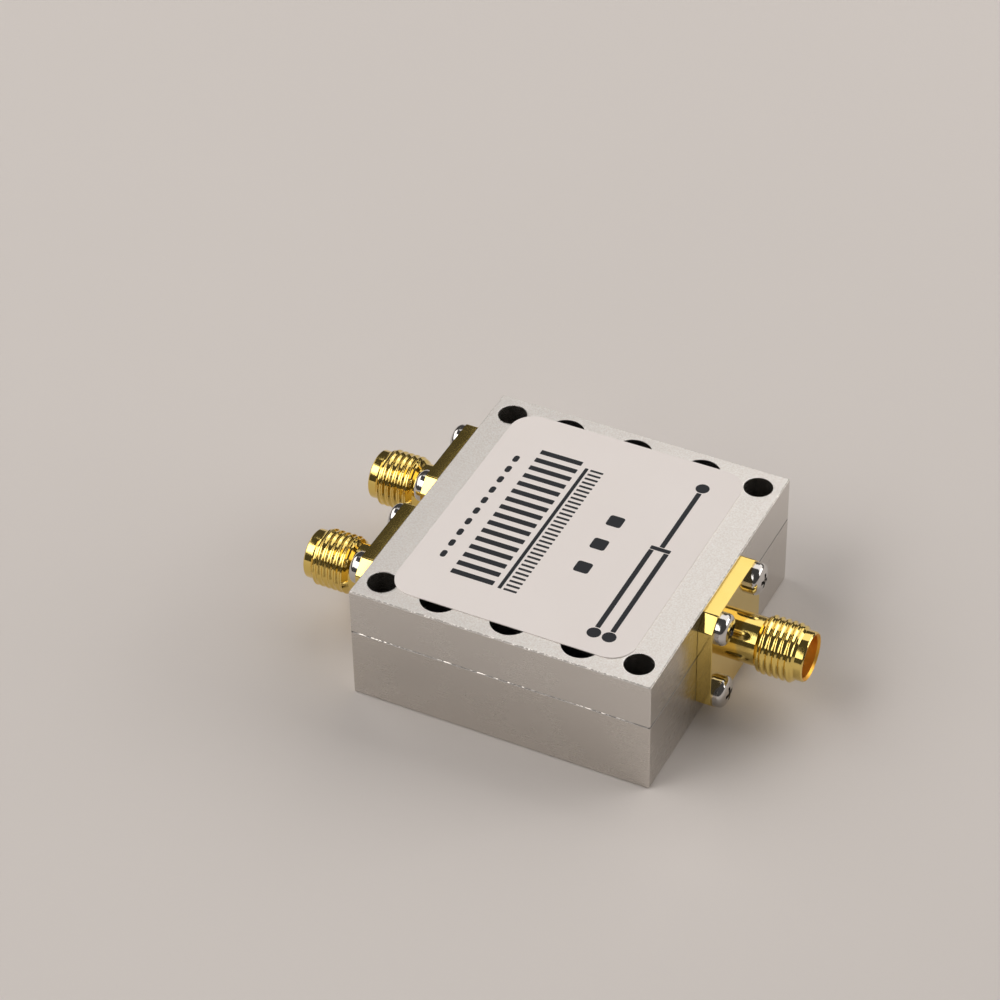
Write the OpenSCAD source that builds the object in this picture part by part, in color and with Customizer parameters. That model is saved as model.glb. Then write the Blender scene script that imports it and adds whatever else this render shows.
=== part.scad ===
// Two-way coaxial power splitter: a milled two-part housing with one input and two output jacks.
// The frame stands on the middle of the housing's bottom face, with +X towards the input jack,
// +Y along the row of outputs and +Z up.

/* [Housing] */
// Length of the housing between its two connector faces
body_x = 34; // [31:0.5:42]
// Width of the housing along the row of outputs
body_y = 36; // [34:0.5:46]
// Height of the milled base
base_h = 8.5; // [8.4:0.1:10]
// Height of the cover
cover_h = 5.5; // [5:0.1:8]
// Bevel on the outer edges
edge_bevel = 0.12; // [0.1:0.02:0.5]
// Fine bevel on both sides of the seam
seam_bevel = 0.1; // [0.05:0.05:0.2]

/* [Chamber] */
// Wall between the chamber and the connector faces
wall_x = 4.5; // [4:0.1:6]
// Wall along the sides that take the cover screws
wall_y = 6; // [5.5:0.1:7]
// Corner radius left by the milling cutter
chamber_r = 2; // [1:0.1:3]
// Depth of the chamber inside the cover
cover_chamber = 2.5; // [1.5:0.1:3]

/* [Chassis holes] */
// Diameter of the four mounting holes
chassis_d = 3.2; // [2.6:0.1:3.6]
// Inset of the mounting holes from the connector faces
chassis_inset_x = 2.5; // [2.3:0.05:3]
// Inset of the mounting holes from the other two sides
chassis_inset_y = 2.75; // [2.3:0.05:3.2]

/* [Cover screws] */
// Distance between neighbouring cover screws
cover_screw_pitch = 8; // [7:0.1:9]
// Inset of the cover screws from the side
cover_screw_inset = 3; // [2.8:0.1:3.4]
// Thread diameter of the cover screws
cover_screw_d = 2; // [1.6:0.1:2.5]
// Length of the cover screws under the head
cover_screw_l = 5; // [4:0.5:6]
// Head diameter of the cover screws
cover_head_d = 3.8; // [3:0.1:4]
// Head height of the cover screws
cover_head_h = 2; // [1.2:0.1:2.4]
// Width of the hexagon socket across its flats
cover_key = 1.5; // [1.3:0.1:2]
// Depth of the hexagon socket
cover_key_depth = 1; // [0.6:0.1:1.2]
// Clearance round a cover screw's head
counterbore_gap = 0.2; // [0.1:0.05:0.3]
// Clearance round a cover screw's shank
shank_gap = 0.15; // [0.05:0.05:0.25]
// Cover thickness left under the screw heads
cover_seat = 1.5; // [1:0.1:2.5]

/* [Label] */
// Label size along the connector axes
label_x = 27.1; // [20:0.1:28]
// Label size along the row of outputs
label_y = 32; // [24:0.1:33]
// Corner radius of the label
label_r = 2.7; // [1:0.1:4]
// Thickness of the label
label_t = 0.1; // [0.05:0.01:0.2]
// Offset of the label towards the input
label_shift_x = -0.3; // [-1:0.05:1]
// Offset of the label along the row of outputs
label_shift_y = 0.14; // [-1:0.02:1]

/* [Connectors] */
// Distance of the connector axes below the seam
axis_drop = 1.3; // [1.2:0.05:2]
// Distance between the two output axes
output_pitch = 14.7; // [13:0.1:16]
// Side of the square flange
flange_w = 12.7; // [12:0.1:12.9]
// Thickness of the flange
flange_t = 1.65; // [1.5:0.05:2.2]
// Distance between the flange screws
flange_pitch = 8.64; // [8.2:0.01:8.8]
// Neck diameter behind the thread
neck_d = 5.3; // [5:0.05:5.5]
// Neck length in front of the flange
neck_l = 3.05; // [1.5:0.05:3.5]
// Outer diameter of the coupling thread
thread_d = 6.35; // [6:0.05:6.6]
// Length of the coupling thread with its lead-in bevels
thread_l = 4.45; // [4:0.05:6]
// Diameter of the plain nose in front of the thread
nose_d = 5.45; // [5.2:0.05:5.6]
// Length of the plain nose
nose_l = 0.95; // [0.8:0.05:2]
// Bevel round the nose
nose_bevel = 0.1; // [0.05:0.05:0.3]
// Flat left on the rim between the nose's bevel and the mouth's
rim_flat = 0.08; // [0.05:0.01:0.2]
// Diameter of the open mouth
mouth_d = 4.6; // [4.4:0.05:4.7]
// Depth of the mouth down to the insulator
mouth_depth = 1.95; // [1.5:0.05:2.5]
// Diameter of the insulator
insulator_d = 4.1; // [3.8:0.05:4.3]
// Diameter of the centre contact
contact_d = 1.27; // [1.2:0.01:1.4]
// Diameter of the socket in the contact
socket_d = 0.92; // [0.85:0.01:1]
// Depth of the socket in the contact
socket_depth = 2.6; // [2:0.1:3.5]
// Width of the slots that make the socket springy
slot_w = 0.15; // [0.1:0.01:0.2]
// Length of those slots
slot_l = 1.8; // [1:0.1:2]
// Recess of the contact behind the insulator's face
contact_recess = 0.05; // [0:0.01:0.1]
// Diameter of the contact's tail
tail_d = 0.95; // [0.7:0.05:1.1]
// Length of the tail that lies over the board
tail_reach = 1.4; // [1:0.1:2]
// Diameter of the bore round the tail
tail_bore_d = 2.2; // [1.8:0.1:2.4]

/* [Flange screws] */
// Thread diameter of the flange screws
flange_screw_d = 2; // [1.6:0.1:2.2]
// Length of the flange screws under the head
flange_screw_l = 4.5; // [3.5:0.1:5]
// Head diameter of the flange screws
flange_head_d = 3.5; // [3:0.1:4]
// Head height of the flange screws
flange_head_h = 1.3; // [0.9:0.1:1.6]
// Height of the straight rim below the head's dome
flange_head_rim = 0.7; // [0.4:0.1:0.8]
// Flange left between a screw head and the bevel that cuts off the corner
head_land = 0.06; // [0.02:0.02:0.4]

/* [Board] */
// Thickness of the circuit board
board_t = 0.8; // [0.5:0.05:1.2]
// Thickness of the copper layers
copper_t = 0.07; // [0.05:0.01:0.1]
// Clearance between the board and the chamber wall
board_gap = 0.1; // [0.05:0.05:0.3]
// Width of the feed lines
line_w = 1.7; // [1.2:0.1:2]
// Width of the ring arms
arm_w = 0.9; // [0.6:0.05:1.2]
// Diameter of each ring section, measured on the middle of its arm
ring_d = 4.8; // [4.4:0.1:5]
// Number of ring sections
ring_count = 3; // [1:1:3]
// Length of the input line
input_line = 3.9; // [3:0.1:5]
// Bend radius of the output lines
bend_r = 2; // [1:0.1:3]
// Length of a chip resistor
chip_l = 1.6; // [1.4:0.1:2]
// Width of a chip resistor
chip_w = 0.8; // [0.6:0.1:1]
// Height of a chip resistor
chip_h = 0.45; // [0.3:0.05:0.6]
// Gap between the two arms under a chip resistor
arm_gap = 0.8; // [0.5:0.05:1]
// Wall of the solder round a contact's tail
solder_t = 0.35; // [0.2:0.05:0.5]

/* [Board screws] */
// Thread diameter of the board screws
board_screw_d = 1.6; // [1.4:0.1:2]
// Length of the board screws under the head
board_screw_l = 3.5; // [2.5:0.1:4.5]
// Head diameter of the board screws
board_head_d = 3; // [2.6:0.1:3.4]
// Head height of the board screws
board_head_h = 0.9; // [0.6:0.1:1]
// Height of the straight rim below the board screws' dome
board_head_rim = 0.5; // [0.3:0.1:0.6]
// Inset of the board screws from the board's edges
board_screw_inset = 2.2; // [1.8:0.1:3]
// Space between a board screw's head and a line
board_screw_space = 0.6; // [0.3:0.1:1]

/* [Fits] */
// Clearance between a screw's thread and its tapped hole
thread_gap = 0.02; // [0.01:0.01:0.05]
// Clearance between insulator, contact and shell
insulator_gap = 0.02; // [0.01:0.01:0.05]
// Free depth below a screw's tip
tip_gap = 0.4; // [0.2:0.1:0.8]
// Width of a cross recess
cross_w = 0.5; // [0.3:0.05:0.7]
// Share of the head that the cross recess spans
cross_share = 0.6; // [0.4:0.05:0.7]
// Share of the head height that the cross recess cuts
cross_depth_share = 0.5; // [0.3:0.05:0.6]

/* [Hidden] */
$fn = 48;
over = 1;
body_h = base_h + cover_h;
axis_h = base_h - axis_drop;
chamber_x = body_x - 2 * wall_x;
chamber_y = body_y - 2 * wall_y;
// Stack of the board below the contact tails
line_z = axis_h - tail_d / 2;
board_z = line_z - copper_t;
ground_z = board_z - board_t;
floor_z = ground_z - copper_t;
board_x = chamber_x - 2 * board_gap;
board_y = chamber_y - 2 * board_gap;
// Ring sections run from the end of the input line towards the outputs
rings_start = board_x / 2 - input_line;
rings_end = rings_start - ring_count * ring_d;
board_screw_y = board_y / 2 - board_screw_inset;
board_screw_spots = [
    for (x = [board_x / 2 - board_screw_inset, rings_end + line_w / 2 + board_screw_space + board_head_d / 2])
        for (y = [-board_screw_y, board_screw_y]) [x, y]
];
cover_screw_spots = [
    for (side = [-1, 1]) for (i = [-1, 0, 1]) [i * cover_screw_pitch, side * (body_y / 2 - cover_screw_inset)]
];
cover_seat_z = base_h + cover_seat;
// Stations along a connector, measured outwards from the housing
neck_end = flange_t + neck_l;
thread_end = neck_end + thread_l;
nose_end = thread_end + nose_l;
insulator_end = nose_end - mouth_depth;
mouth_bevel = nose_d / 2 - nose_bevel - rim_flat - mouth_d / 2;
flange_screw_grip = flange_screw_l - flange_t;
flange_tap_l = flange_screw_grip + tip_gap;
flange_tap_d = flange_screw_d + 2 * thread_gap;
flange_cut = flange_w - flange_pitch - sqrt(2) * (flange_head_d / 2 + head_land);
// Each port: place on the housing and heading of its outward axis
input_port = [body_x / 2, 0, 0];
output_port_1 = [-body_x / 2, -output_pitch / 2, 180];
output_port_2 = [-body_x / 2, output_pitch / 2, 180];
ports = [input_port, output_port_1, output_port_2];
plated = [0.74, 0.72, 0.7];
gold = [0.86, 0.66, 0.25];
steel = [0.78, 0.77, 0.75];

module at_port(port) {
    translate([port[0], port[1], axis_h])
        rotate([0, 0, port[2]])
            children();
}

// Turns a shape built along +Z so that it points out of the port
module outward() {
    rotate([0, 90, 0])
        children();
}

module rounded_rect(w, l, r) {
    square([w - 2 * r, l], center = true);
    square([w, l - 2 * r], center = true);
    for (x = [-1, 1])
        for (y = [-1, 1])
            translate([x * (w / 2 - r), y * (l / 2 - r)])
                circle(r);
}

// Four bars that bevel the edges of a box at one height
module rim_bevels(z, bevel) {
    bar = bevel * sqrt(2);
    for (side = [-1, 1]) {
        translate([side * body_x / 2, 0, z])
            rotate([0, 45, 0])
                cube([bar, body_y + over, bar], center = true);
        translate([0, side * body_y / 2, z])
            rotate([45, 0, 0])
                cube([body_x + over, bar, bar], center = true);
    }
}

module housing_block(z, h, low_bevel, high_bevel) {
    bar = edge_bevel * sqrt(2);
    difference() {
        translate([-body_x / 2, -body_y / 2, z])
            cube([body_x, body_y, h]);
        rim_bevels(z, low_bevel);
        rim_bevels(z + h, high_bevel);
        for (x = [-1, 1])
            for (y = [-1, 1])
                translate([x * body_x / 2, y * body_y / 2, z + h / 2])
                    rotate([0, 0, 45])
                        cube([bar, bar, h + over], center = true);
    }
}

module chassis_holes() {
    for (x = [-1, 1])
        for (y = [-1, 1])
            translate([x * (body_x / 2 - chassis_inset_x), y * (body_y / 2 - chassis_inset_y), -over])
                cylinder(h = body_h + 2 * over, d = chassis_d);
}

module cover_screw_holes() {
    depth = cover_screw_l - cover_seat;
    for (spot = cover_screw_spots) {
        translate([spot[0], spot[1], base_h - depth - tip_gap])
            cylinder(h = depth + tip_gap + over / 2, d = cover_screw_d + 2 * thread_gap);
    }
}

module cover_screw_wells() {
    for (spot = cover_screw_spots) {
        translate([spot[0], spot[1], base_h - over])
            cylinder(h = cover_seat + 2 * over, d = cover_screw_d + 2 * shank_gap);
        translate([spot[0], spot[1], cover_seat_z])
            cylinder(h = body_h - cover_seat_z + over, d = cover_head_d + 2 * counterbore_gap);
    }
}

// Tapped holes for the flange screws and the bores round the contact tails
module port_holes() {
    for (port = ports)
        at_port(port) {
            for (y = [-1, 1])
                for (z = [-1, 1])
                    translate([-flange_tap_l, y * flange_pitch / 2, z * flange_pitch / 2])
                        outward()
                            cylinder(h = flange_tap_l + over, d = flange_tap_d);
            translate([-wall_x - over, 0, 0])
                outward()
                    cylinder(h = wall_x + 2 * over, d = tail_bore_d);
        }
}

module base_housing() {
    color(plated)
        difference() {
            housing_block(0, base_h, edge_bevel, seam_bevel);
            translate([0, 0, floor_z])
                linear_extrude(base_h - floor_z + over)
                    rounded_rect(chamber_x, chamber_y, chamber_r);
            chassis_holes();
            cover_screw_holes();
            port_holes();
            for (spot = board_screw_spots)
                translate([spot[0], spot[1], board_z - board_screw_l - tip_gap])
                    cylinder(h = board_screw_l + tip_gap, d = board_screw_d + 2 * thread_gap);
        }
}

module top_cover() {
    color(plated)
        difference() {
            housing_block(base_h, cover_h, seam_bevel, edge_bevel);
            translate([0, 0, base_h - over])
                linear_extrude(cover_chamber + over)
                    rounded_rect(chamber_x, chamber_y, chamber_r);
            chassis_holes();
            cover_screw_wells();
            port_holes();
        }
}

module label() {
    color([0.9, 0.88, 0.87])
        translate([label_shift_x, label_shift_y, body_h])
            linear_extrude(label_t)
                rounded_rect(label_x, label_y, label_r);
}

// Socket-head screw seated at z = 0
module socket_screw() {
    difference() {
        union() {
            cylinder(h = cover_head_h, d = cover_head_d);
            translate([0, 0, -cover_screw_l])
                cylinder(h = cover_screw_l + cover_head_h / 2, d = cover_screw_d);
        }
        translate([0, 0, cover_head_h - cover_key_depth])
            cylinder(h = cover_key_depth + over, d = cover_key / cos(30), $fn = 6);
    }
}

// Domed screw with a cross recess, seated at z = 0
module domed_screw(d, l, head_d, head_h, rim) {
    rise = head_h - rim;
    dome_r = (head_d * head_d / 4 + rise * rise) / (2 * rise);
    depth = head_h * cross_depth_share;
    difference() {
        union() {
            intersection() {
                cylinder(h = head_h, d = head_d);
                translate([0, 0, head_h - dome_r])
                    sphere(dome_r);
            }
            translate([0, 0, -l])
                cylinder(h = l + rim / 2, d = d);
        }
        for (turn = [0, 90])
            rotate([0, 0, turn])
                translate([0, 0, head_h - depth / 2 + over / 2])
                    cube([head_d * cross_share, cross_w, depth + over], center = true);
    }
}

module cover_screws() {
    color(steel)
        for (spot = cover_screw_spots)
            translate([spot[0], spot[1], cover_seat_z])
                socket_screw();
}

module board_outline() {
    difference() {
        rounded_rect(board_x, board_y, chamber_r);
        for (spot = board_screw_spots)
            translate(spot)
                circle(d = board_screw_d + 2 * shank_gap);
    }
}

module circuit_board() {
    color([0.82, 0.79, 0.66])
        translate([0, 0, ground_z])
            linear_extrude(board_t)
                board_outline();
}

module ground_layer() {
    color([0.78, 0.5, 0.32])
        translate([0, 0, floor_z])
            linear_extrude(copper_t)
                board_outline();
}

// One output line: along the last chip, round a bend and out to the board's edge
module output_line() {
    port_y = output_pitch / 2;
    translate([rings_end - line_w / 2, arm_gap / 2])
        square([line_w, port_y - bend_r - arm_gap / 2]);
    translate([rings_end - bend_r, port_y - bend_r])
        intersection() {
            difference() {
                circle(bend_r + line_w / 2);
                circle(bend_r - line_w / 2);
            }
            square(bend_r + line_w);
        }
    translate([-board_x / 2, port_y - line_w / 2])
        square([rings_end - bend_r + board_x / 2, line_w]);
}

module trace_outline() {
    difference() {
        union() {
            translate([rings_start - arm_w / 2, -line_w / 2])
                square([input_line + arm_w / 2, line_w]);
            for (i = [0:ring_count - 1])
                translate([rings_start - (i + 0.5) * ring_d, 0])
                    difference() {
                        circle(d = ring_d + arm_w);
                        circle(d = ring_d - arm_w);
                    }
            for (i = [1:ring_count])
                translate([rings_start - i * ring_d, 0])
                    square([chip_w + arm_gap / 2, chip_l + arm_gap / 2], center = true);
        }
        for (i = [1:ring_count])
            translate([rings_start - i * ring_d, 0])
                square([chip_w + 2 * arm_w, arm_gap], center = true);
    }
    output_line();
    mirror([0, 1])
        output_line();
}

module splitter_trace() {
    color([0.85, 0.62, 0.35])
        translate([0, 0, board_z])
            linear_extrude(copper_t)
                trace_outline();
}

module isolation_resistors() {
    color([0.13, 0.13, 0.15])
        for (i = [1:ring_count])
            translate([rings_start - i * ring_d, 0, line_z + chip_h / 2])
                cube([chip_w, chip_l, chip_h], center = true);
}

module board_screws() {
    color(steel)
        for (spot = board_screw_spots)
            translate([spot[0], spot[1], board_z])
                domed_screw(board_screw_d, board_screw_l, board_head_d, board_head_h, board_head_rim);
}

// Solder mound over each tail, cut flat where it lies on its line
module solder_joints() {
    mound_r = tail_d / 2 + solder_t;
    color([0.7, 0.7, 0.72])
        for (port = ports)
            at_port(port)
                translate([-wall_x - tail_reach - solder_t, 0, 0])
                    difference() {
                        outward()
                            cylinder(h = tail_reach, r = mound_r);
                        translate([-over, -2 * mound_r, -tail_d / 2 - 2 * mound_r])
                            cube([tail_reach + 2 * over, 4 * mound_r, 2 * mound_r]);
                        translate([solder_t, 0, 0])
                            outward()
                                cylinder(h = tail_reach, d = tail_d);
                    }
}

// Square with each corner cut off at 45 degrees
module cut_square(w, cut) {
    h = w / 2;
    polygon([
        [h, cut - h], [h, h - cut], [h - cut, h], [cut - h, h],
        [-h, h - cut], [-h, cut - h], [cut - h, -h], [h - cut, -h]
    ]);
}

module flange_plate() {
    difference() {
        rotate([90, 0, 90])
            linear_extrude(flange_t)
                cut_square(flange_w, flange_cut);
        for (y = [-1, 1])
            for (z = [-1, 1])
                translate([-over, y * flange_pitch / 2, z * flange_pitch / 2])
                    outward()
                        cylinder(h = flange_t + 2 * over, d = flange_screw_d + 2 * shank_gap);
    }
}

// Turned barrel with neck, thread cylinder and nose
module barrel() {
    neck_r = neck_d / 2;
    thread_r = thread_d / 2;
    nose_r = nose_d / 2;
    outward()
        rotate_extrude()
            polygon([
                [0, 0],
                [neck_r, 0],
                [neck_r, neck_end],
                [thread_r, neck_end + thread_r - neck_r],
                [thread_r, thread_end - thread_r + nose_r],
                [nose_r, thread_end],
                [nose_r, nose_end - nose_bevel],
                [nose_r - nose_bevel, nose_end],
                [0, nose_end]
            ]);
}

module connector_shell() {
    color(gold)
        difference() {
            union() {
                flange_plate();
                barrel();
            }
            translate([-over, 0, 0])
                outward()
                    cylinder(h = nose_end, d = insulator_d + 2 * insulator_gap);
            translate([insulator_end, 0, 0])
                outward()
                    cylinder(h = mouth_depth + over, d = mouth_d);
            translate([nose_end - mouth_bevel, 0, 0])
                outward()
                    cylinder(h = 2 * mouth_bevel, d1 = mouth_d, d2 = mouth_d + 4 * mouth_bevel);
        }
}

module insulator() {
    color([0.95, 0.94, 0.9])
        outward()
            difference() {
                cylinder(h = insulator_end, d = insulator_d);
                translate([0, 0, -over])
                    cylinder(h = insulator_end + 2 * over, d = contact_d + 2 * insulator_gap);
            }
}

module contact() {
    tip = insulator_end - contact_recess;
    color(gold)
        outward()
            difference() {
                union() {
                    cylinder(h = tip, d = contact_d);
                    translate([0, 0, -wall_x - tail_reach])
                        cylinder(h = wall_x + tail_reach + over, d = tail_d);
                }
                translate([0, 0, tip - socket_depth])
                    cylinder(h = socket_depth + over, d = socket_d);
                for (turn = [0, 90])
                    rotate([0, 0, turn])
                        translate([0, 0, tip - slot_l / 2 + over / 2])
                            cube([contact_d + over, slot_w, slot_l + over], center = true);
            }
}

// Four domed screws, each left at its own angle
module flange_screws() {
    color(steel)
        for (i = [0:3])
            translate([flange_t, (i % 2 - 0.5) * flange_pitch, (floor(i / 2) - 0.5) * flange_pitch])
                outward()
                    rotate([0, 0, 25 * i])
                        domed_screw(
                            flange_screw_d, flange_screw_l, flange_head_d, flange_head_h, flange_head_rim
                        );
}

base_housing();
top_cover();
label();
cover_screws();
circuit_board();
ground_layer();
splitter_trace();
isolation_resistors();
board_screws();
solder_joints();
at_port(input_port) connector_shell();  // input_connector_shell
at_port(input_port) insulator();  // input_insulator
at_port(input_port) contact();  // input_contact
at_port(input_port) flange_screws();  // input_flange_screws
at_port(output_port_1) connector_shell();  // output_1_connector_shell
at_port(output_port_1) insulator();  // output_1_insulator
at_port(output_port_1) contact();  // output_1_contact
at_port(output_port_1) flange_screws();  // output_1_flange_screws
at_port(output_port_2) connector_shell();  // output_2_connector_shell
at_port(output_port_2) insulator();  // output_2_insulator
at_port(output_port_2) contact();  // output_2_contact
at_port(output_port_2) flange_screws();  // output_2_flange_screws
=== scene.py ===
import math
import bmesh
import bpy
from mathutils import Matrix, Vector


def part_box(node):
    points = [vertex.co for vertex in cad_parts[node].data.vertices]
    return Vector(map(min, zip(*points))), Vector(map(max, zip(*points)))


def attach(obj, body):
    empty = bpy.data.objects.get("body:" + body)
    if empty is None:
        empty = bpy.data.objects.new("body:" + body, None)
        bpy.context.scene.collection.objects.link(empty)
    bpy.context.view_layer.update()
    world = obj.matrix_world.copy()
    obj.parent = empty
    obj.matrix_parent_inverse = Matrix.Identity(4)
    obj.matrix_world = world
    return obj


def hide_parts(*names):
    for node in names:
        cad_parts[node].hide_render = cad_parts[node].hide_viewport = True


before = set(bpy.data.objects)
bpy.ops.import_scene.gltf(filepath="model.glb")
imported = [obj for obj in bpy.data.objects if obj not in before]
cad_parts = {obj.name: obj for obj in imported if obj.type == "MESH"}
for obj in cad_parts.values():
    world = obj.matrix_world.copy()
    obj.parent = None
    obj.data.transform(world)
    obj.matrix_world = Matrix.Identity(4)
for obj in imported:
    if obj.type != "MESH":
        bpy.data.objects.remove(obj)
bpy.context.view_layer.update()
print("frame loaded with", len(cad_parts), "nodes")

# pieces are modelled in millimetres and brought down to metres when they are placed
mm = 0.001
near = 0.01                     # places closer than this count as one, in millimetres
steep = 0.9                     # a face counts as level when its normal has at least this much Z
mergeWithin = 0.0004
smoothAngle = 32
normalWeight = 50
jacks = ("input", "output_1", "output_2")


# small helpers for working as in the viewport

def dropAll():
    if bpy.context.mode != "OBJECT":
        bpy.ops.object.mode_set(mode="OBJECT")
    bpy.ops.object.select_all(action="DESELECT")


def takeUp(*pieces):
    dropAll()
    for piece in pieces:
        piece.select_set(True)
    bpy.context.view_layer.objects.active = pieces[0]
    return pieces[0]


def editing():
    bpy.ops.object.mode_set(mode="EDIT")


def done():
    bpy.ops.object.mode_set(mode="OBJECT")


def chooseAll():
    bpy.ops.mesh.select_all(action="SELECT")


def choose(kind, test):
    # selects the edges or faces that pass the test, which is given their middle too
    bpy.ops.mesh.select_mode(type=kind)
    bpy.ops.mesh.select_all(action="DESELECT")
    mesh = bmesh.from_edit_mesh(bpy.context.edit_object.data)
    for item in {"EDGE": mesh.edges, "FACE": mesh.faces}[kind]:
        middle = sum((c.co for c in item.verts), Vector()) / len(item.verts)
        if test(middle, item):
            item.select_set(True)
    mesh.select_flush_mode()
    bmesh.update_edit_mesh(bpy.context.edit_object.data)


def facesUp(middle, face):
    return face.normal.z > steep


def facesDown(middle, face):
    return face.normal.z < -steep


def turnOutward():
    chooseAll()
    bpy.ops.mesh.normals_make_consistent(inside=False)


def apply(piece, kind, settings):
    takeUp(piece)
    modifier = piece.modifiers.new(kind.title(), kind)
    for key, value in settings.items():
        setattr(modifier, key, value)
    bpy.ops.object.modifier_apply(modifier=modifier.name)


def combine(piece, tool, how):
    apply(piece, "BOOLEAN", {"object": tool, "operation": how, "solver": "EXACT"})
    bpy.data.objects.remove(tool)


def tidyMesh(piece):
    takeUp(piece)
    editing()
    chooseAll()
    bpy.ops.mesh.remove_doubles(threshold=mergeWithin)
    turnOutward()
    done()
    bpy.ops.object.shade_smooth_by_angle(angle=math.radians(smoothAngle))
    apply(piece, "WEIGHTED_NORMAL", {"keep_sharp": True, "weight": normalWeight})


def copyOf(piece, name):
    twin = piece.copy()
    twin.data = piece.data.copy()
    twin.name = name
    bpy.context.scene.collection.objects.link(twin)
    return twin


def settle(piece, at, turn, size=mm):
    # puts a piece in its place and writes that place into its mesh
    takeUp(piece)
    piece.location = at
    piece.rotation_euler = turn
    piece.scale = (size, size, size)
    bpy.ops.object.transform_apply(location=True, rotation=True, scale=True)


# shader maths: a Wire is a node's output, and sums on it add Math nodes

class Wire:
    def __init__(self, finish, socket):
        self.finish = finish
        self.socket = socket

    def maths(self, how, other=0.0, flip=False, clamp=False):
        first, second = (other, self) if flip else (self, other)
        settings = {"operation": how, "use_clamp": clamp}
        return self.finish.add("ShaderNodeMath", settings, {0: first, 1: second})

    def __add__(self, other):
        return self.maths("ADD", other)

    def __sub__(self, other):
        return self.maths("SUBTRACT", other)

    def __rsub__(self, other):
        return self.maths("SUBTRACT", other, flip=True)

    def __mul__(self, other):
        return self.maths("MULTIPLY", other)

    def __pow__(self, other):
        return self.maths("POWER", other)

    def __abs__(self):
        return self.maths("ABSOLUTE")

    __radd__, __rmul__ = __add__, __mul__

    def over(self, other):
        return self.maths("MAXIMUM", other)

    def clamped(self):
        return self.maths("ADD", clamp=True)

    def ramp(self, low, high):
        # 0 at low, 1 at high
        return ((self - low) * (1 / (high - low))).clamped()


class Finish:
    def __init__(self, name):
        self.material = bpy.data.materials.new(name)
        self.material.use_nodes = True
        self.tree = self.material.node_tree
        self.shader = self.tree.nodes["Principled BSDF"]
        self.at = self.add("ShaderNodeTexCoord", {}, {}, "Object")

    def add(self, kind, settings, values, out=0):
        node = self.tree.nodes.new(kind)
        for key, value in settings.items():
            setattr(node, key, value)
        for key, value in values.items():
            self.join(node.inputs[key], value)
        return Wire(self, node.outputs[out])

    def join(self, socket, value):
        if isinstance(value, Wire):
            self.tree.links.new(value.socket, socket)
        elif socket.type == "RGBA" and len(value) == 3:
            socket.default_value = (*value, 1)
        else:
            socket.default_value = value

    def set(self, **values):
        for key, value in values.items():
            self.join(self.shader.inputs[key.replace("_", " ")], value)

    def noise(self, scale, detail=2.0, rough=0.5, at=None):
        values = {"Vector": at or self.at, "Scale": scale, "Detail": detail, "Roughness": rough}
        return self.add("ShaderNodeTexNoise", {}, values, "Fac")

    def specks(self, scale):
        # one random value for each small cell
        cells = self.add("ShaderNodeTexVoronoi", {}, {"Vector": self.at, "Scale": scale}, "Color")
        return self.add("ShaderNodeSeparateColor", {}, {0: cells})

    def axis(self, name):
        return self.add("ShaderNodeSeparateXYZ", {}, {0: self.at}, name)

    def stretched(self, size):
        return self.add("ShaderNodeMapping", {}, {"Vector": self.at, "Scale": size})

    def blend(self, share, first, second):
        # inputs 6 and 7 and output 2 are the colours of a Mix node
        return self.add("ShaderNodeMix", {"data_type": "RGBA"}, {"Factor": share, 6: first, 7: second}, 2)

    def bump(self, height, depth, strength=1.0):
        values = {"Strength": strength, "Distance": depth, "Height": height}
        self.set(Normal=self.add("ShaderNodeBump", {}, values))


# camera and studio

studio = {
    "cameraAt": (0.115383, -0.243257, 0.245039),
    "cameraTurn": (49.9503, 0.8785, 26.2501),
    "lens": 122.237, "sensor": 36, "clip": (0.01, 20),
    "roomColour": (1.0, 0.96, 0.92),
    "roomLevel": 0.07,
    "panelTint": (1.0, 0.965, 0.93),
    "panels": [
        # name, middle, faces, width, height, radiance
        ("farPanel", (0.45, 1.02, 0.60), (0.45, 1.02, 0), 1.50, 1.60, 1.22),
        ("nearPanel", (-0.34, -0.78, 0.60), (-0.34, -0.78, 0), 0.34, 1.20, 2.1),
        ("leftPanel", (-0.90, -0.27, 0.87), (0, 0, 0), 1.6, 0.9, 1.95),
        ("rightPanel", (1.45, 0.85, 0.60), (0, 0, 0), 1.2, 0.8, 2.8),
    ],
}
floorLook = {
    "size": 6.0, "drop": 0.00002,
    "colour": (0.72, 0.68, 0.655), "vary": 0.015, "cloud": 14,
    "rough": 0.72, "cloudRough": 0.1, "sheen": 0.2,
    "tooth": 2600, "toothDeep": 0.00003, "toothShare": 0.3,
}


def makeCamera():
    data = bpy.data.cameras.new("camera")
    data.sensor_width = studio["sensor"]
    data.lens = studio["lens"]
    data.clip_start, data.clip_end = studio["clip"]
    camera = bpy.data.objects.new("camera", data)
    camera.location = studio["cameraAt"]
    camera.rotation_euler = [math.radians(a) for a in studio["cameraTurn"]]
    bpy.context.scene.collection.objects.link(camera)
    bpy.context.scene.camera = camera


def makePanel(name, middle, aim, width, height, radiance):
    data = bpy.data.lights.new(name, "AREA")
    data.shape = "RECTANGLE"
    data.size, data.size_y = width, height
    data.energy = radiance * math.pi * width * height
    data.color = studio["panelTint"]
    panel = bpy.data.objects.new(name, data)
    panel.location = middle
    panel.rotation_euler = (Vector(aim) - Vector(middle)).to_track_quat("-Z", "Y").to_euler()
    bpy.context.scene.collection.objects.link(panel)


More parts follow.
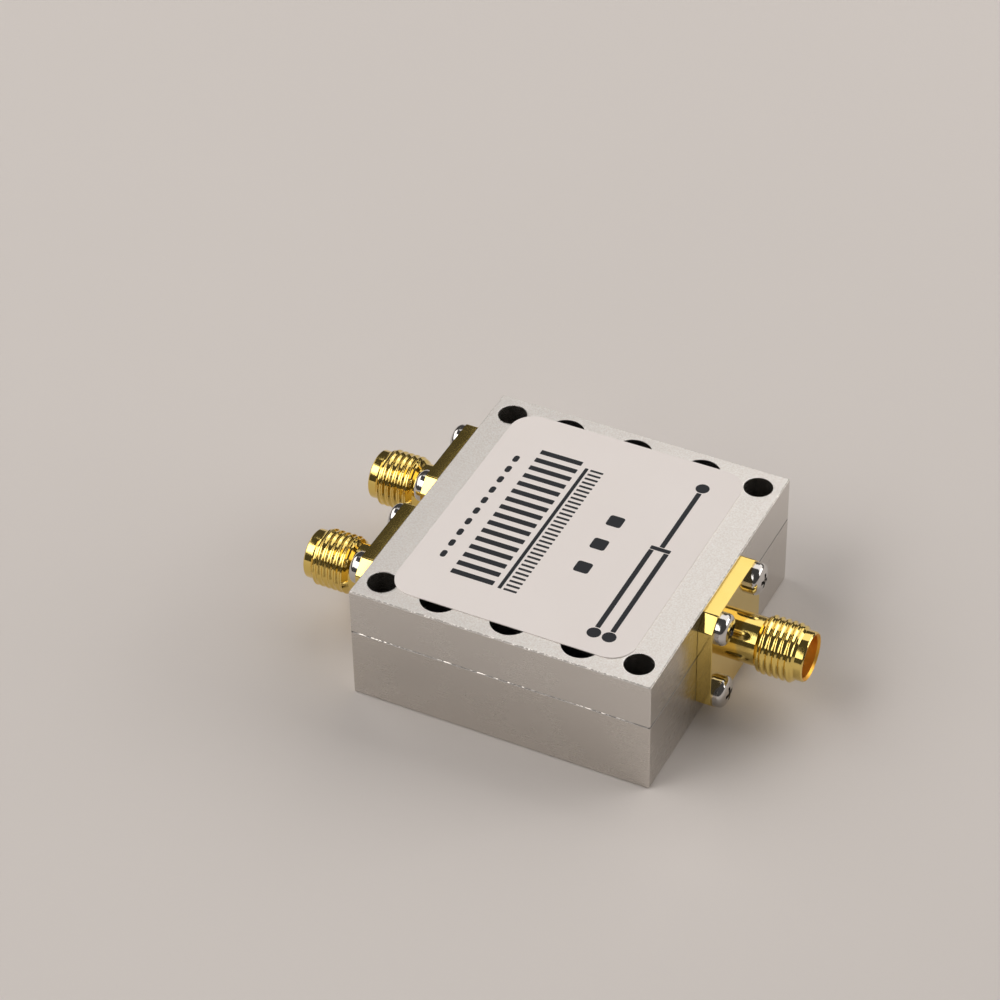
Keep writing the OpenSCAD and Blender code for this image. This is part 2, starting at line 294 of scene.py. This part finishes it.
def makeFloor(look):
    dropAll()
    bpy.ops.mesh.primitive_plane_add(size=look["size"], location=(0, 0, -look["drop"]))
    floor = bpy.context.object
    floor.name = "floor"
    bpy.ops.object.transform_apply(location=True)
    paper = Finish("floorPaper")
    cloud = paper.noise(look["cloud"], 3)
    dark = [c * (1 - look["vary"]) for c in look["colour"]]
    light = [c * (1 + look["vary"]) for c in look["colour"]]
    paper.set(Base_Color=paper.blend(cloud, dark, light),
              Roughness=look["rough"] + look["cloudRough"] * cloud,
              Specular_IOR_Level=look["sheen"])
    paper.bump(paper.noise(look["tooth"], 3), look["toothDeep"], look["toothShare"])
    floor.data.materials.append(paper.material)


def lightRoom():
    world = bpy.data.worlds.new("room")
    bpy.context.scene.world = world
    world.use_nodes = True
    back = world.node_tree.nodes["Background"]
    back.inputs["Color"].default_value = (*studio["roomColour"], 1)
    back.inputs["Strength"].default_value = studio["roomLevel"]
    for panel in studio["panels"]:
        makePanel(*panel)
    bpy.context.scene.view_settings.view_transform = "Standard"


makeCamera()
makeFloor(floorLook)
lightRoom()
print("camera, floor and lights are set")


# finishes: noise scales are per metre, depths and distances in metres

coverLow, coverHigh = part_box("top_cover")
coverLook = {
    "halfX": coverHigh.x, "halfY": coverHigh.y,
    "cloud": 160, "streaks": 900, "level": (1, 1, 14), "grain": 5200, "depth": 0.00003,
    "milled": ((0.66, 0.63, 0.595), (0.71, 0.68, 0.645)), "milledRough": 0.27, "milledGrain": 0.03,
    # the blasted finish starts just under the upper edge, along a ragged line
    "top": coverHigh.z - 0.00013, "topRise": 0.00006, "ragged": 0.00012, "raggedScale": 4200,
    "blasted": ((0.89, 0.84, 0.795), (1.0, 0.98, 0.95)), "blastedRough": 0.46, "blastedGrain": 0.8,
    "grainSpan": (0.39, 0.61), "shineScale": 6240, "shineSpan": (0.82, 1.0), "shineRough": 0.14,
    # a darker, rougher band along the upper edges, which is painted shade where the top turns down to the
    # sides
    "shadedBrink": (0.62, 0.595, 0.57), "brinkSpan": (-0.00014, -0.00010), "brinkRough": 0.34,
    "brinkWanderX": 2, "brinkWanderY": 3,
    "holeX": 0.0145, "holeY": 0.01525, "hole": 0.0016, "holeEdge": (0.000091, 0.00013), "holeRough": 0.16,
    "seam": coverLow.z, "seamSpan": (0.000088, 0.00011), "lipSpan": (0.0000495, 0.0000715),
    # painted shade colours for the seam between base and cover
    "seamShade": (0.22, 0.21, 0.20), "jointRough": 0.2,
    "jointEnds": (0.20, 0.19, 0.18), "jointEndsRough": 0.3,
    "endsSpan": (coverHigh.x - 0.0003, coverHigh.x - 0.0002),
    "nickScale": 2600, "nickSpan": (0.48, 0.58), "nickPatch": 190, "nickPatchSpan": (0.37, 0.50),
}
baseLook = {**coverLook, "milled": ((0.62, 0.585, 0.545), (0.67, 0.635, 0.595))}


def platedFinish(name, look, blasted):
    plate = Finish(name)
    cloud = plate.noise(look["cloud"], 3)
    fine = plate.noise(look["grain"], 3, 0.65)
    streaks = plate.noise(look["streaks"], 3, 0.6, plate.stretched(look["level"]))
    colour = plate.blend((0.85 * cloud + 0.15 * streaks).clamped(), *look["milled"])
    rough = look["milledRough"] + 0.03 * (streaks - 0.5) + 0.05 * (cloud - 0.5)
    height = look["milledGrain"] * streaks + look["milledGrain"] * fine
    if blasted:
        ragged = look["ragged"] * (plate.noise(look["raggedScale"], 2) - 0.5)
        up = (plate.axis("Z") + ragged).ramp(look["top"], look["top"] + look["topRise"])
        acrossX, acrossY = abs(plate.axis("X")), abs(plate.axis("Y"))
        pastX = acrossX + ragged * look["brinkWanderX"] - look["halfX"]
        pastY = acrossY + ragged * look["brinkWanderY"] - look["halfY"]
        # shadedBrink marks the band along the upper edges that gets the painted shade colour and more
        # roughness
        shadedBrink = pastY.over(pastX).ramp(*look["brinkSpan"])
        # glintSpecks: the brightest specks are lighter in colour, which is painted glints, and smoother in
        # roughness
        glintSpecks = plate.specks(look["shineScale"]).ramp(*look["shineSpan"])
        share = 0.15 * cloud + 0.85 * fine.ramp(*look["grainSpan"]) + 0.3 * glintSpecks
        top = plate.blend(share.clamped(), *look["blasted"])
        topRough = look["blastedRough"] - look["shineRough"] * glintSpecks + look["brinkRough"] * shadedBrink
        colour = plate.blend(up, colour, plate.blend(shadedBrink, top, look["shadedBrink"]))
        rough = rough * (1 - up) + up * topRough
        height = height * (1 - up) + up * look["blastedGrain"] * fine
        # the rims of the chassis holes are rubbed smooth
        fromHole = ((acrossX - look["holeX"]) ** 2.0 + (acrossY - look["holeY"]) ** 2.0) ** 0.5
        rubbed = up * (1 - (fromHole - look["hole"]).ramp(*look["holeEdge"]))
        rough = rough - look["holeRough"] * rubbed
        height = height * (1 - rubbed)
    # along the seam between base and cover a dark line of painted shade lies in the groove, broken by
    # bright nicks where the plain metal shows, and unbroken and darker on the two X ends; the line is also
    # rougher
    fromSeam = abs(plate.axis("Z") - look["seam"])
    # seamShade marks the groove that gets the painted shade
    seamShade = 1 - fromSeam.ramp(*look["seamSpan"])
    lip = 1 - fromSeam.ramp(*look["lipSpan"])
    nicks = lip * plate.noise(look["nickScale"], 2, 0.6).ramp(*look["nickSpan"])
    nicks = nicks * plate.noise(look["nickPatch"], 2).ramp(*look["nickPatchSpan"])
    brokenSeamShade = seamShade * (1 - nicks)
    ends = abs(plate.axis("X")).ramp(*look["endsSpan"])
    seamShadeColour = plate.blend(ends, look["seamShade"], look["jointEnds"])
    plate.set(Base_Color=plate.blend(brokenSeamShade.over(seamShade * ends), colour, seamShadeColour),
              Metallic=1.0,
              Roughness=rough + look["jointRough"] * brokenSeamShade + look["jointEndsRough"] * seamShade * ends)
    plate.bump(height, look["depth"])
    return plate.material


goldGrain = {
    "cloud": 420, "lines": 1800, "along": (6, 1, 1), "dents": 700,
    "depth": 0.000012, "strength": 0.35,
}
goldLook = {"deep": (0.82, 0.60, 0.165), "light": (0.87, 0.66, 0.21), "rough": 0.07}
# the inside of the jack's mouth is a deeper, more orange gold, which is painted shade in the bore, with a
# rougher finish
shadedMouthLook = {"deep": (0.80, 0.40, 0.055), "light": (0.88, 0.47, 0.075), "rough": 0.4}
contactLook = {"deep": (0.88, 0.63, 0.24), "light": (0.93, 0.70, 0.30), "rough": 0.16}


def goldFinish(name, look):
    gold = Finish(name)
    cloud = gold.noise(goldGrain["cloud"], 2)
    lines = gold.noise(goldGrain["lines"], 2, 0.5, gold.stretched(goldGrain["along"]))
    dents = gold.noise(goldGrain["dents"], 2)
    gold.set(Base_Color=gold.blend(cloud, look["deep"], look["light"]),
             Metallic=1.0,
             Roughness=look["rough"] + 0.05 * cloud + 0.04 * (lines - 0.5))
    gold.bump(0.6 * lines + 0.4 * dents, goldGrain["depth"], goldGrain["strength"])
    return gold.material


metalCloud = 350
metalLooks = {
    # finish: name, dark, light, roughness, scale and depth of the grain
    "bright": ("brightScrew", (0.58, 0.56, 0.54), (0.68, 0.66, 0.64), 0.06, 2600, 0.00001),
    "dark": ("darkScrew", (0.10, 0.10, 0.105), (0.16, 0.16, 0.165), 0.34, 2600, 0.00001),
    "copper": ("copperLayer", (0.60, 0.27, 0.14), (0.74, 0.38, 0.22), 0.3, 1800, 0.00001),
    "trace": ("goldFlash", (0.78, 0.54, 0.22), (0.86, 0.63, 0.30), 0.26, 1800, 0.00001),
    "solder": ("brightSolder", (0.52, 0.52, 0.53), (0.66, 0.66, 0.67), 0.22, 1200, 0.00003),
}


def metalFinish(name, dark, light, rough, grain, depth):
    metal = Finish(name)
    cloud = metal.noise(metalCloud, 3)
    fine = metal.noise(grain, 3, 0.6)
    metal.set(Base_Color=metal.blend(cloud, dark, light),
              Metallic=1.0,
              Roughness=rough + 0.1 * (fine - 0.5) + 0.06 * cloud)
    metal.bump(fine, depth, 0.5)
    return metal.material


filmLook = {
    "dark": (0.888, 0.828, 0.80), "light": (0.922, 0.868, 0.845),
    "cloud": 120, "fine": 4200, "rough": 0.40, "fineRough": 0.08, "sheen": 0.45, "depth": 0.00001,
}


def filmFinish(look):
    film = Finish("labelFilm")
    cloud = film.noise(look["cloud"], 3)
    fine = film.noise(look["fine"], 2)
    film.set(Base_Color=film.blend(cloud, look["dark"], look["light"]),
             Roughness=look["rough"] + look["fineRough"] * fine,
             Specular_IOR_Level=look["sheen"])
    film.bump(0.6 * fine + 0.4 * cloud, look["depth"], 0.4)
    return film.material


inkLook = {
    "dark": (0.012, 0.014, 0.018), "light": (0.026, 0.028, 0.034),
    "fine": 5200, "rough": 0.42, "fineRough": 0.2, "sheen": 0.3, "depth": 0.000008,
}


def inkFinish(look):
    ink = Finish("labelInk")
    fine = ink.noise(look["fine"], 3)
    ink.set(Base_Color=ink.blend(fine, look["dark"], look["light"]),
            Roughness=look["rough"] + look["fineRough"] * fine,
            Specular_IOR_Level=look["sheen"])
    ink.bump(fine, look["depth"], 0.4)
    return ink.material


waxyLook = {
    "dark": (0.80, 0.78, 0.72), "light": (0.86, 0.85, 0.80),
    "cloud": 600, "fine": 3000, "rough": 0.38, "cloudRough": 0.12, "depth": 0.00001,
}


def waxyFinish(look):
    waxy = Finish("insulatorWhite")
    cloud = waxy.noise(look["cloud"], 3)
    waxy.set(Base_Color=waxy.blend(cloud, look["dark"], look["light"]),
             Roughness=look["rough"] + look["cloudRough"] * cloud)
    waxy.bump(waxy.noise(look["fine"], 2), look["depth"], 0.4)
    return waxy.material


laminateLook = {
    "dark": (0.66, 0.62, 0.46), "light": (0.80, 0.77, 0.62),
    "weave": 2400, "warp": (1, 0.12, 1), "weft": (0.12, 1, 1),
    "rough": 0.5, "weaveRough": 0.2, "depth": 0.00002,
}


def laminateFinish(look):
    board = Finish("laminateBoard")
    warp = board.noise(look["weave"], 2, 0.5, board.stretched(look["warp"]))
    weft = board.noise(look["weave"], 2, 0.5, board.stretched(look["weft"]))
    weave = (warp + weft) * 0.5
    board.set(Base_Color=board.blend(weave, look["dark"], look["light"]),
              Roughness=look["rough"] + look["weaveRough"] * weave)
    board.bump(weave, look["depth"], 0.6)
    return board.material


chipLook = {
    "glaze": (0.02, 0.02, 0.023), "cap": (0.62, 0.61, 0.60), "capSpan": (0.00052, 0.00056),
    "fine": 4000, "rough": 0.3, "fineRough": 0.15, "depth": 0.00001,
}


def chipFinish(look):
    chip = Finish("chipGlaze")
    caps = abs(chip.axis("Y")).ramp(*look["capSpan"])       # bright caps at the two ends
    fine = chip.noise(look["fine"], 2)
    chip.set(Base_Color=chip.blend(caps, look["glaze"], look["cap"]),
             Metallic=caps,
             Roughness=look["rough"] + look["fineRough"] * fine)
    chip.bump(fine, look["depth"], 0.4)
    return chip.material


finishes = {
    "base": platedFinish("platedBase", baseLook, False),
    "cover": platedFinish("platedCover", coverLook, True),
    "gold": goldFinish("polishedGold", goldLook),
    "mouth": goldFinish("shadedMouthGold", shadedMouthLook),
    "contact": goldFinish("contactGold", contactLook),
    **{finish: metalFinish(*look) for finish, look in metalLooks.items()},
    "film": filmFinish(filmLook),
    "ink": inkFinish(inkLook),
    "waxy": waxyFinish(waxyLook),
    "laminate": laminateFinish(laminateLook),
    "chip": chipFinish(chipLook),
}
print("finishes made:", len(finishes))

nodeFinish = {
    "base_housing": "base", "top_cover": "cover", "label": "film", "cover_screws": "dark",
    "circuit_board": "laminate", "ground_layer": "copper", "splitter_trace": "trace",
    "isolation_resistors": "chip", "board_screws": "bright", "solder_joints": "solder",
}
for jack in jacks:
    nodeFinish[jack + "_connector_shell"] = "gold"
    nodeFinish[jack + "_insulator"] = "waxy"
    nodeFinish[jack + "_contact"] = "contact"
    nodeFinish[jack + "_flange_screws"] = "bright"
for node, look in nodeFinish.items():
    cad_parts[node].data.materials.clear()
    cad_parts[node].data.materials.append(finishes[look])


# jack shells: the thread is wound first, then the neck and nose are drawn out of its two ends,
# and the flange is joined on; all sizes along the axis are measured from the housing's wall

jackShell = {
    "flangeSide": 12.7, "flangeThick": 1.65, "cornerCut": 1.5, "cornerEase": 0.16, "rimBevel": 0.09,
    "screwPitch": 8.64, "screwHole": 1.15, "holeSides": 40, "drill": 6, "boreRoom": 0.3,
    "neck": 2.65, "neckEnd": 4.7, "neckHold": 0.1, "back": 0.03,
    "crest": 3.175, "depth": 0.177, "pitch": 0.7056, "steps": 96, "turns": 11, "runIn": 2, "merge": 0.0005,
    # one turn of the thread from root to root: share of the pitch and slope
    "thread": ((0.22, 0), (0.04, 0.4), (0.23, 0.95), (0.04, 0.4),
               (0.16, 0), (0.04, -0.4), (0.23, -0.95), (0.04, -0.4)),
    "threadEnd": 9.15, "neckLine": 0.11, "noseLine": 0.05, "endStep": 0.04, "ringNear": 0.002,
    "nose": 2.725, "noseEnd": 10.1, "noseBevel": 0.1, "noseHold": 0.05, "noseEase": 0.02,
    "rimLip": 2.545, "lipSlack": 0.005, "mouth": 2.3, "mouthBevel": 0.245, "seat": 8.15, "bore": 2.07,
}


def portOf(jack):
    # where the jack's axis meets the housing's wall, and the way it points in degrees
    low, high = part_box(jack + "_connector_shell")
    middle = (low + high) / 2
    if middle.x > 0:
        return (low.x, middle.y, middle.z), 0.0
    return (high.x, middle.y, middle.z), 180.0


ports = {jack: portOf(jack) for jack in jacks}


def onePoint(at):
    dropAll()
    bpy.ops.mesh.primitive_plane_add(location=(0, 0, 0))
    piece = bpy.context.object
    editing()
    bpy.ops.mesh.merge(type="CENTER")
    bpy.ops.transform.translate(value=at)
    return piece


def drawTo(step):
    bpy.ops.mesh.extrude_region_move(TRANSFORM_OT_translate={"value": step})


def ringTo(radius, along):
    # draws the selected ring out to a new radius and station
    bpy.ops.mesh.extrude_edges_move()
    mesh = bmesh.from_edit_mesh(bpy.context.edit_object.data)
    for corner in mesh.verts:
        if corner.select:
            reach = math.hypot(corner.co.x, corner.co.y)
            corner.co = (corner.co.x * radius / reach, corner.co.y * radius / reach, along)
    bmesh.update_edit_mesh(bpy.context.edit_object.data)


def cutAcross(station, **side):
    chooseAll()
    bpy.ops.mesh.bisect(plane_co=(0, 0, station), plane_no=(0, 0, 1), **side)


def windThread(j):
    barrel = onePoint((j["crest"] - j["depth"], 0, j["neckEnd"] - j["runIn"] * j["pitch"]))
    for share, slope in j["thread"]:
        drawTo((share * slope * j["pitch"], 0, share * j["pitch"]))
    done()
    apply(barrel, "SCREW", {
        "axis": "Z", "steps": j["steps"], "render_steps": j["steps"], "screw_offset": j["pitch"],
        "iterations": j["turns"], "use_normal_calculate": True,
    })
    editing()
    chooseAll()
    bpy.ops.mesh.remove_doubles(threshold=j["merge"])
    # lines where the lead-in bevels break
    cutAcross(j["neckEnd"] + j["neckLine"])
    cutAcross(j["neckEnd"] + j["crest"] - j["neck"])
    cutAcross(j["threadEnd"] - j["noseLine"])
    cutAcross(j["threadEnd"] - j["crest"] + j["nose"])
    cutAcross(j["neckEnd"], clear_inner=True)
    cutAcross(j["threadEnd"], clear_outer=True)
    mesh = bmesh.from_edit_mesh(barrel.data)
    for corner in mesh.verts:                # the crests fade into both bevels
        reach = math.hypot(corner.co.x, corner.co.y)
        most = min(j["neck"] + corner.co.z - j["neckEnd"], j["nose"] + j["threadEnd"] - corner.co.z)
        if reach > most:
            corner.co.x *= most / reach
            corner.co.y *= most / reach
    bmesh.update_edit_mesh(barrel.data)
    return barrel


def drawBarrel(j):
    barrel = windThread(j)
    nose, end, bevel, ease = j["nose"], j["noseEnd"], j["noseBevel"], j["noseEase"]
    # radius and station of each ring
    backward = (
        (j["neck"], j["neckEnd"] - j["endStep"]),
        (j["neck"], j["flangeThick"] + j["neckHold"]),
        (j["neck"], j["back"]),
    )
    forward = (
        (nose, j["threadEnd"] + j["endStep"]),
        (nose, end - bevel - j["noseHold"]),
        (nose - ease, end - bevel),
        (nose - bevel, end - ease),
        (nose - bevel - ease, end),
        (j["rimLip"], end),
        (j["mouth"], end - j["mouthBevel"]),
        (j["mouth"], j["seat"]),
        (j["bore"], j["seat"]),
        (j["bore"], j["back"]),
    )
    for start, rings in ((j["neckEnd"], backward), (j["threadEnd"], forward)):
        choose("EDGE", lambda m, e: e.is_boundary and abs(m.z - start) < j["ringNear"])
        for radius, along in rings:
            ringTo(radius, along)
    choose("EDGE", lambda m, e: e.is_boundary)
    bpy.ops.mesh.bridge_edge_loops()
    turnOutward()
    done()
    return barrel


def riseOf(edge):
    return abs(edge.verts[0].co.z - edge.verts[1].co.z)


def cutFlange(j):
    half = j["flangeSide"] / 2
    screwHalf = j["screwPitch"] / 2
    dropAll()
    bpy.ops.mesh.primitive_cube_add(size=1, location=(0, 0, j["flangeThick"] / 2),
                                    scale=(j["flangeSide"], j["flangeSide"], j["flangeThick"]))
    flange = bpy.context.object
    bpy.ops.object.transform_apply(location=True, scale=True)
    editing()
    choose("EDGE", lambda m, e: abs(abs(m.x) - half) < near and abs(abs(m.y) - half) < near)
    bpy.ops.mesh.bevel(offset=j["cornerCut"], segments=1, affect="EDGES")
    choose("EDGE", lambda m, e: riseOf(e) > near)
    bpy.ops.mesh.bevel(offset=j["cornerEase"], segments=3, affect="EDGES")
    choose("EDGE", lambda m, e: riseOf(e) < near)
    bpy.ops.mesh.bevel(offset=j["rimBevel"], segments=2, affect="EDGES")
    done()
    spots = [(0, 0, j["bore"] + j["boreRoom"])]
    spots += [(x * screwHalf, y * screwHalf, j["screwHole"]) for x in (-1, 1) for y in (-1, 1)]
    for x, y, radius in spots:
        dropAll()
        bpy.ops.mesh.primitive_cylinder_add(vertices=j["holeSides"], radius=radius, depth=j["drill"],
                                            location=(x, y, 0))
        combine(flange, bpy.context.object, "DIFFERENCE")
    return flange


def makeShells(j):
    def inMouth(middle, face):
        reach = math.hypot(*face.verts[0].co.xy)
        return middle.z > j["seat"] - near and reach < j["rimLip"] + j["lipSlack"]

    first = drawBarrel(j)
    combine(first, cutFlange(j), "UNION")
    tidyMesh(first)
    # the faces inside the mouth take the gold with painted shade
    for look in ("gold", "mouth"):
        first.data.materials.append(finishes[look])
    editing()
    choose("FACE", inMouth)
    first.active_material_index = 1
    bpy.ops.object.material_slot_assign()
    done()
    shells = [first] + [copyOf(first, "shell") for _ in range(len(ports) - 1)]
    for shell, (jack, (at, heading)) in zip(shells, ports.items()):
        shell.name = jack + "Shell"
        settle(shell, at, (0, math.pi / 2, math.radians(heading)))
        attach(shell, "root")
        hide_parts(jack + "_connector_shell")
    print("jack shells:", len(shells), "with", len(first.data.polygons), "faces each")


makeShells(jackShell)


# flange screws: pan heads with a tapered cross recess, one modelled and copied

flangeScrew = {
    "head": 1.75, "rim": 0.5, "sides": 48, "edge": 0.035, "edgeAngle": 38,
    "shank": 1.0, "length": 4.5, "tip": 0.15, "tipTaper": 0.8,
    # radius and height of each ring of the dome
    "dome": ((1.735, 0.64), (1.68, 0.79), (1.57, 0.93), (1.40, 1.06),
             (1.16, 1.16), (0.84, 1.24), (0.5, 1.285), (0.2, 1.30)),
    "slotLong": 2.2, "slotWide": 0.52, "slotDeep": 0.8, "slotOver": 1.0, "slotTaper": (0.6, 0.75, 1),
    "turnEach": 25.0,
}


def crossTool(s):
    top = s["dome"][-1][1]
    middle = top + s["slotOver"] / 2 - s["slotDeep"] / 2
    arms = []
    for turn in (0, 90):
        dropAll()
        bpy.ops.mesh.primitive_cube_add(size=1, location=(0, 0, middle),
                                        scale=(s["slotLong"], s["slotWide"], s["slotDeep"] + s["slotOver"]))
        arm = bpy.context.object
        bpy.ops.object.transform_apply(location=True, scale=True)
        editing()
        choose("FACE", facesDown)
        bpy.ops.transform.resize(value=s["slotTaper"])
        done()
        arm.rotation_euler.z = math.radians(turn)
        bpy.ops.object.transform_apply(rotation=True)
        arms.append(arm)
    combine(arms[0], arms[1], "UNION")
    return arms[0]


def modelScrew(s):
    dropAll()
    bpy.ops.mesh.primitive_cylinder_add(vertices=s["sides"], radius=s["head"], depth=s["rim"],
                                        location=(0, 0, s["rim"] / 2))
    screw = bpy.context.object
    bpy.ops.object.transform_apply(location=True)
    editing()
    choose("FACE", facesUp)
    wide, high = s["head"], s["rim"]
    for radius, along in s["dome"]:
        drawTo((0, 0, along - high))
        bpy.ops.transform.resize(value=(radius / wide, radius / wide, 1))
        wide, high = radius, along
    choose("FACE", facesDown)
    bpy.ops.mesh.inset(thickness=s["head"] - s["shank"])
    drawTo((0, 0, s["tip"] - s["length"]))
    drawTo((0, 0, -s["tip"]))
    bpy.ops.transform.resize(value=(s["tipTaper"], s["tipTaper"], 1))
    done()
    combine(screw, crossTool(s), "DIFFERENCE")
    apply(screw, "BEVEL", {
        "width": s["edge"], "segments": 2,
        "limit_method": "ANGLE", "angle_limit": math.radians(s["edgeAngle"]),
    })
    tidyMesh(screw)
    screw.data.materials.append(finishes["bright"])
    return screw


def makeFlangeScrews(s):
    master = modelScrew(s)
    half = jackShell["screwPitch"] / 2
    for jack, (at, heading) in ports.items():
        four = []
        for i, (y, z) in enumerate(((-1, -1), (-1, 1), (1, -1), (1, 1))):
            screw = copyOf(master, "screw")
            spot = (-z * half, y * half, jackShell["flangeThick"])
            settle(screw, spot, (0, 0, math.radians(s["turnEach"] * i)), 1)
            four.append(screw)
        group = takeUp(*four)
        bpy.ops.object.join()
        group.name = jack + "FlangeScrews"
        settle(group, at, (0, math.pi / 2, math.radians(heading)))
        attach(group, "root")
        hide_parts(jack + "_flange_screws")
    bpy.data.objects.remove(master)
    print("flange screws: 4 on each jack")


makeFlangeScrews(flangeScrew)


# print on the label: a plain diagram of one line that parts in two, blocks, a scale and rows of marks

labelPrint = {
    "face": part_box("label")[1].z / mm, "thick": 0.012, "gap": 0.1,
    "corner": 0.08, "cornerSteps": 4, "cornerMost": 0.49,
    "line": {"at": 9.3, "from": 12.4, "fork": 1.5, "to": -13.0, "wide": 0.55, "spread": 0.85, "dot": 1.5},
    "blocks": {"at": 3.2, "side": 1.7, "spots": (3.6, -0.4, -4.4), "corner": 0.3},
    "scale": {"at": -2.0, "from": -10.9, "count": 31, "step": 0.7, "wide": 0.3, "tall": 1.5,
              "base": 0.4, "space": 0.25},
    "stripes": {"at": -6.45, "from": -10.6, "count": 16, "step": 1.42, "wide": 0.7, "tall": 4.9},
    "dashes": {"at": -10.8, "from": -8.6, "count": 10, "step": 1.9, "wide": 1.1, "tall": 0.62,
               "corner": 0.3},
}


def inkBar(p, x, y, sizeX, sizeY, corner=None):
    dropAll()
    bpy.ops.mesh.primitive_plane_add(size=1, location=(x, y, p["face"]))
    bar = bpy.context.object
    bar.scale = (sizeX, sizeY, 1)
    bpy.ops.object.transform_apply(location=True, scale=True)
    editing()
    chooseAll()
    offset = min(corner or p["corner"], p["cornerMost"] * min(sizeX, sizeY))
    bpy.ops.mesh.bevel(offset=offset, segments=p["cornerSteps"], affect="VERTICES")
    done()
    return bar


def inkRow(p, row):
    bar = inkBar(p, row["at"], row["from"], row["tall"], row["wide"], row.get("corner"))
    apply(bar, "ARRAY", {
        "count": row["count"], "use_relative_offset": False, "use_constant_offset": True,
        "constant_offset_displace": (0, row["step"], 0),
    })
    return bar


def makePrint(p):
    line, blocks, scale = p["line"], p["blocks"], p["scale"]
    half, dot = line["wide"] / 2, line["dot"] / 2
    marks = []

    def upright(x, high, low):
        marks.append(inkBar(p, x, (high + low) / 2, line["wide"], high - low))

    def roundEnd(x, y):
        marks.append(inkBar(p, x, y, line["dot"], line["dot"], line["dot"]))

    # one line in, two lines out, each with a round end; no two marks touch
    upright(line["at"], line["from"] - dot - p["gap"], line["fork"] + half + p["gap"])
    marks.append(inkBar(p, line["at"], line["fork"], 2 * line["spread"] + line["wide"], line["wide"]))
    roundEnd(line["at"], line["from"])
    for side in (-1, 1):
        x = line["at"] + side * line["spread"]
        upright(x, line["fork"] - half - p["gap"], line["to"] + dot + p["gap"])
        roundEnd(x, line["to"])
    for y in blocks["spots"]:
        marks.append(inkBar(p, blocks["at"], y, blocks["side"], blocks["side"], blocks["corner"]))
    long = (scale["count"] - 1) * scale["step"]
    foot = scale["at"] - scale["tall"] / 2 - scale["space"] - scale["base"] / 2
    marks.append(inkBar(p, foot, scale["from"] + long / 2, scale["base"], long + scale["wide"]))
    for row in ("scale", "stripes", "dashes"):
        marks.append(inkRow(p, p[row]))
    ink = takeUp(*marks)
    bpy.ops.object.join()
    editing()
    chooseAll()
    drawTo((0, 0, p["thick"]))
    turnOutward()
    done()
    ink.name = "labelPrint"
    ink.data.materials.append(finishes["ink"])
    settle(ink, (0, 0, 0), (0, 0, 0))
    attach(ink, "root")
    print("label print:", len(ink.data.polygons), "faces")


makePrint(labelPrint)

dropAll()
bpy.context.view_layer.update()
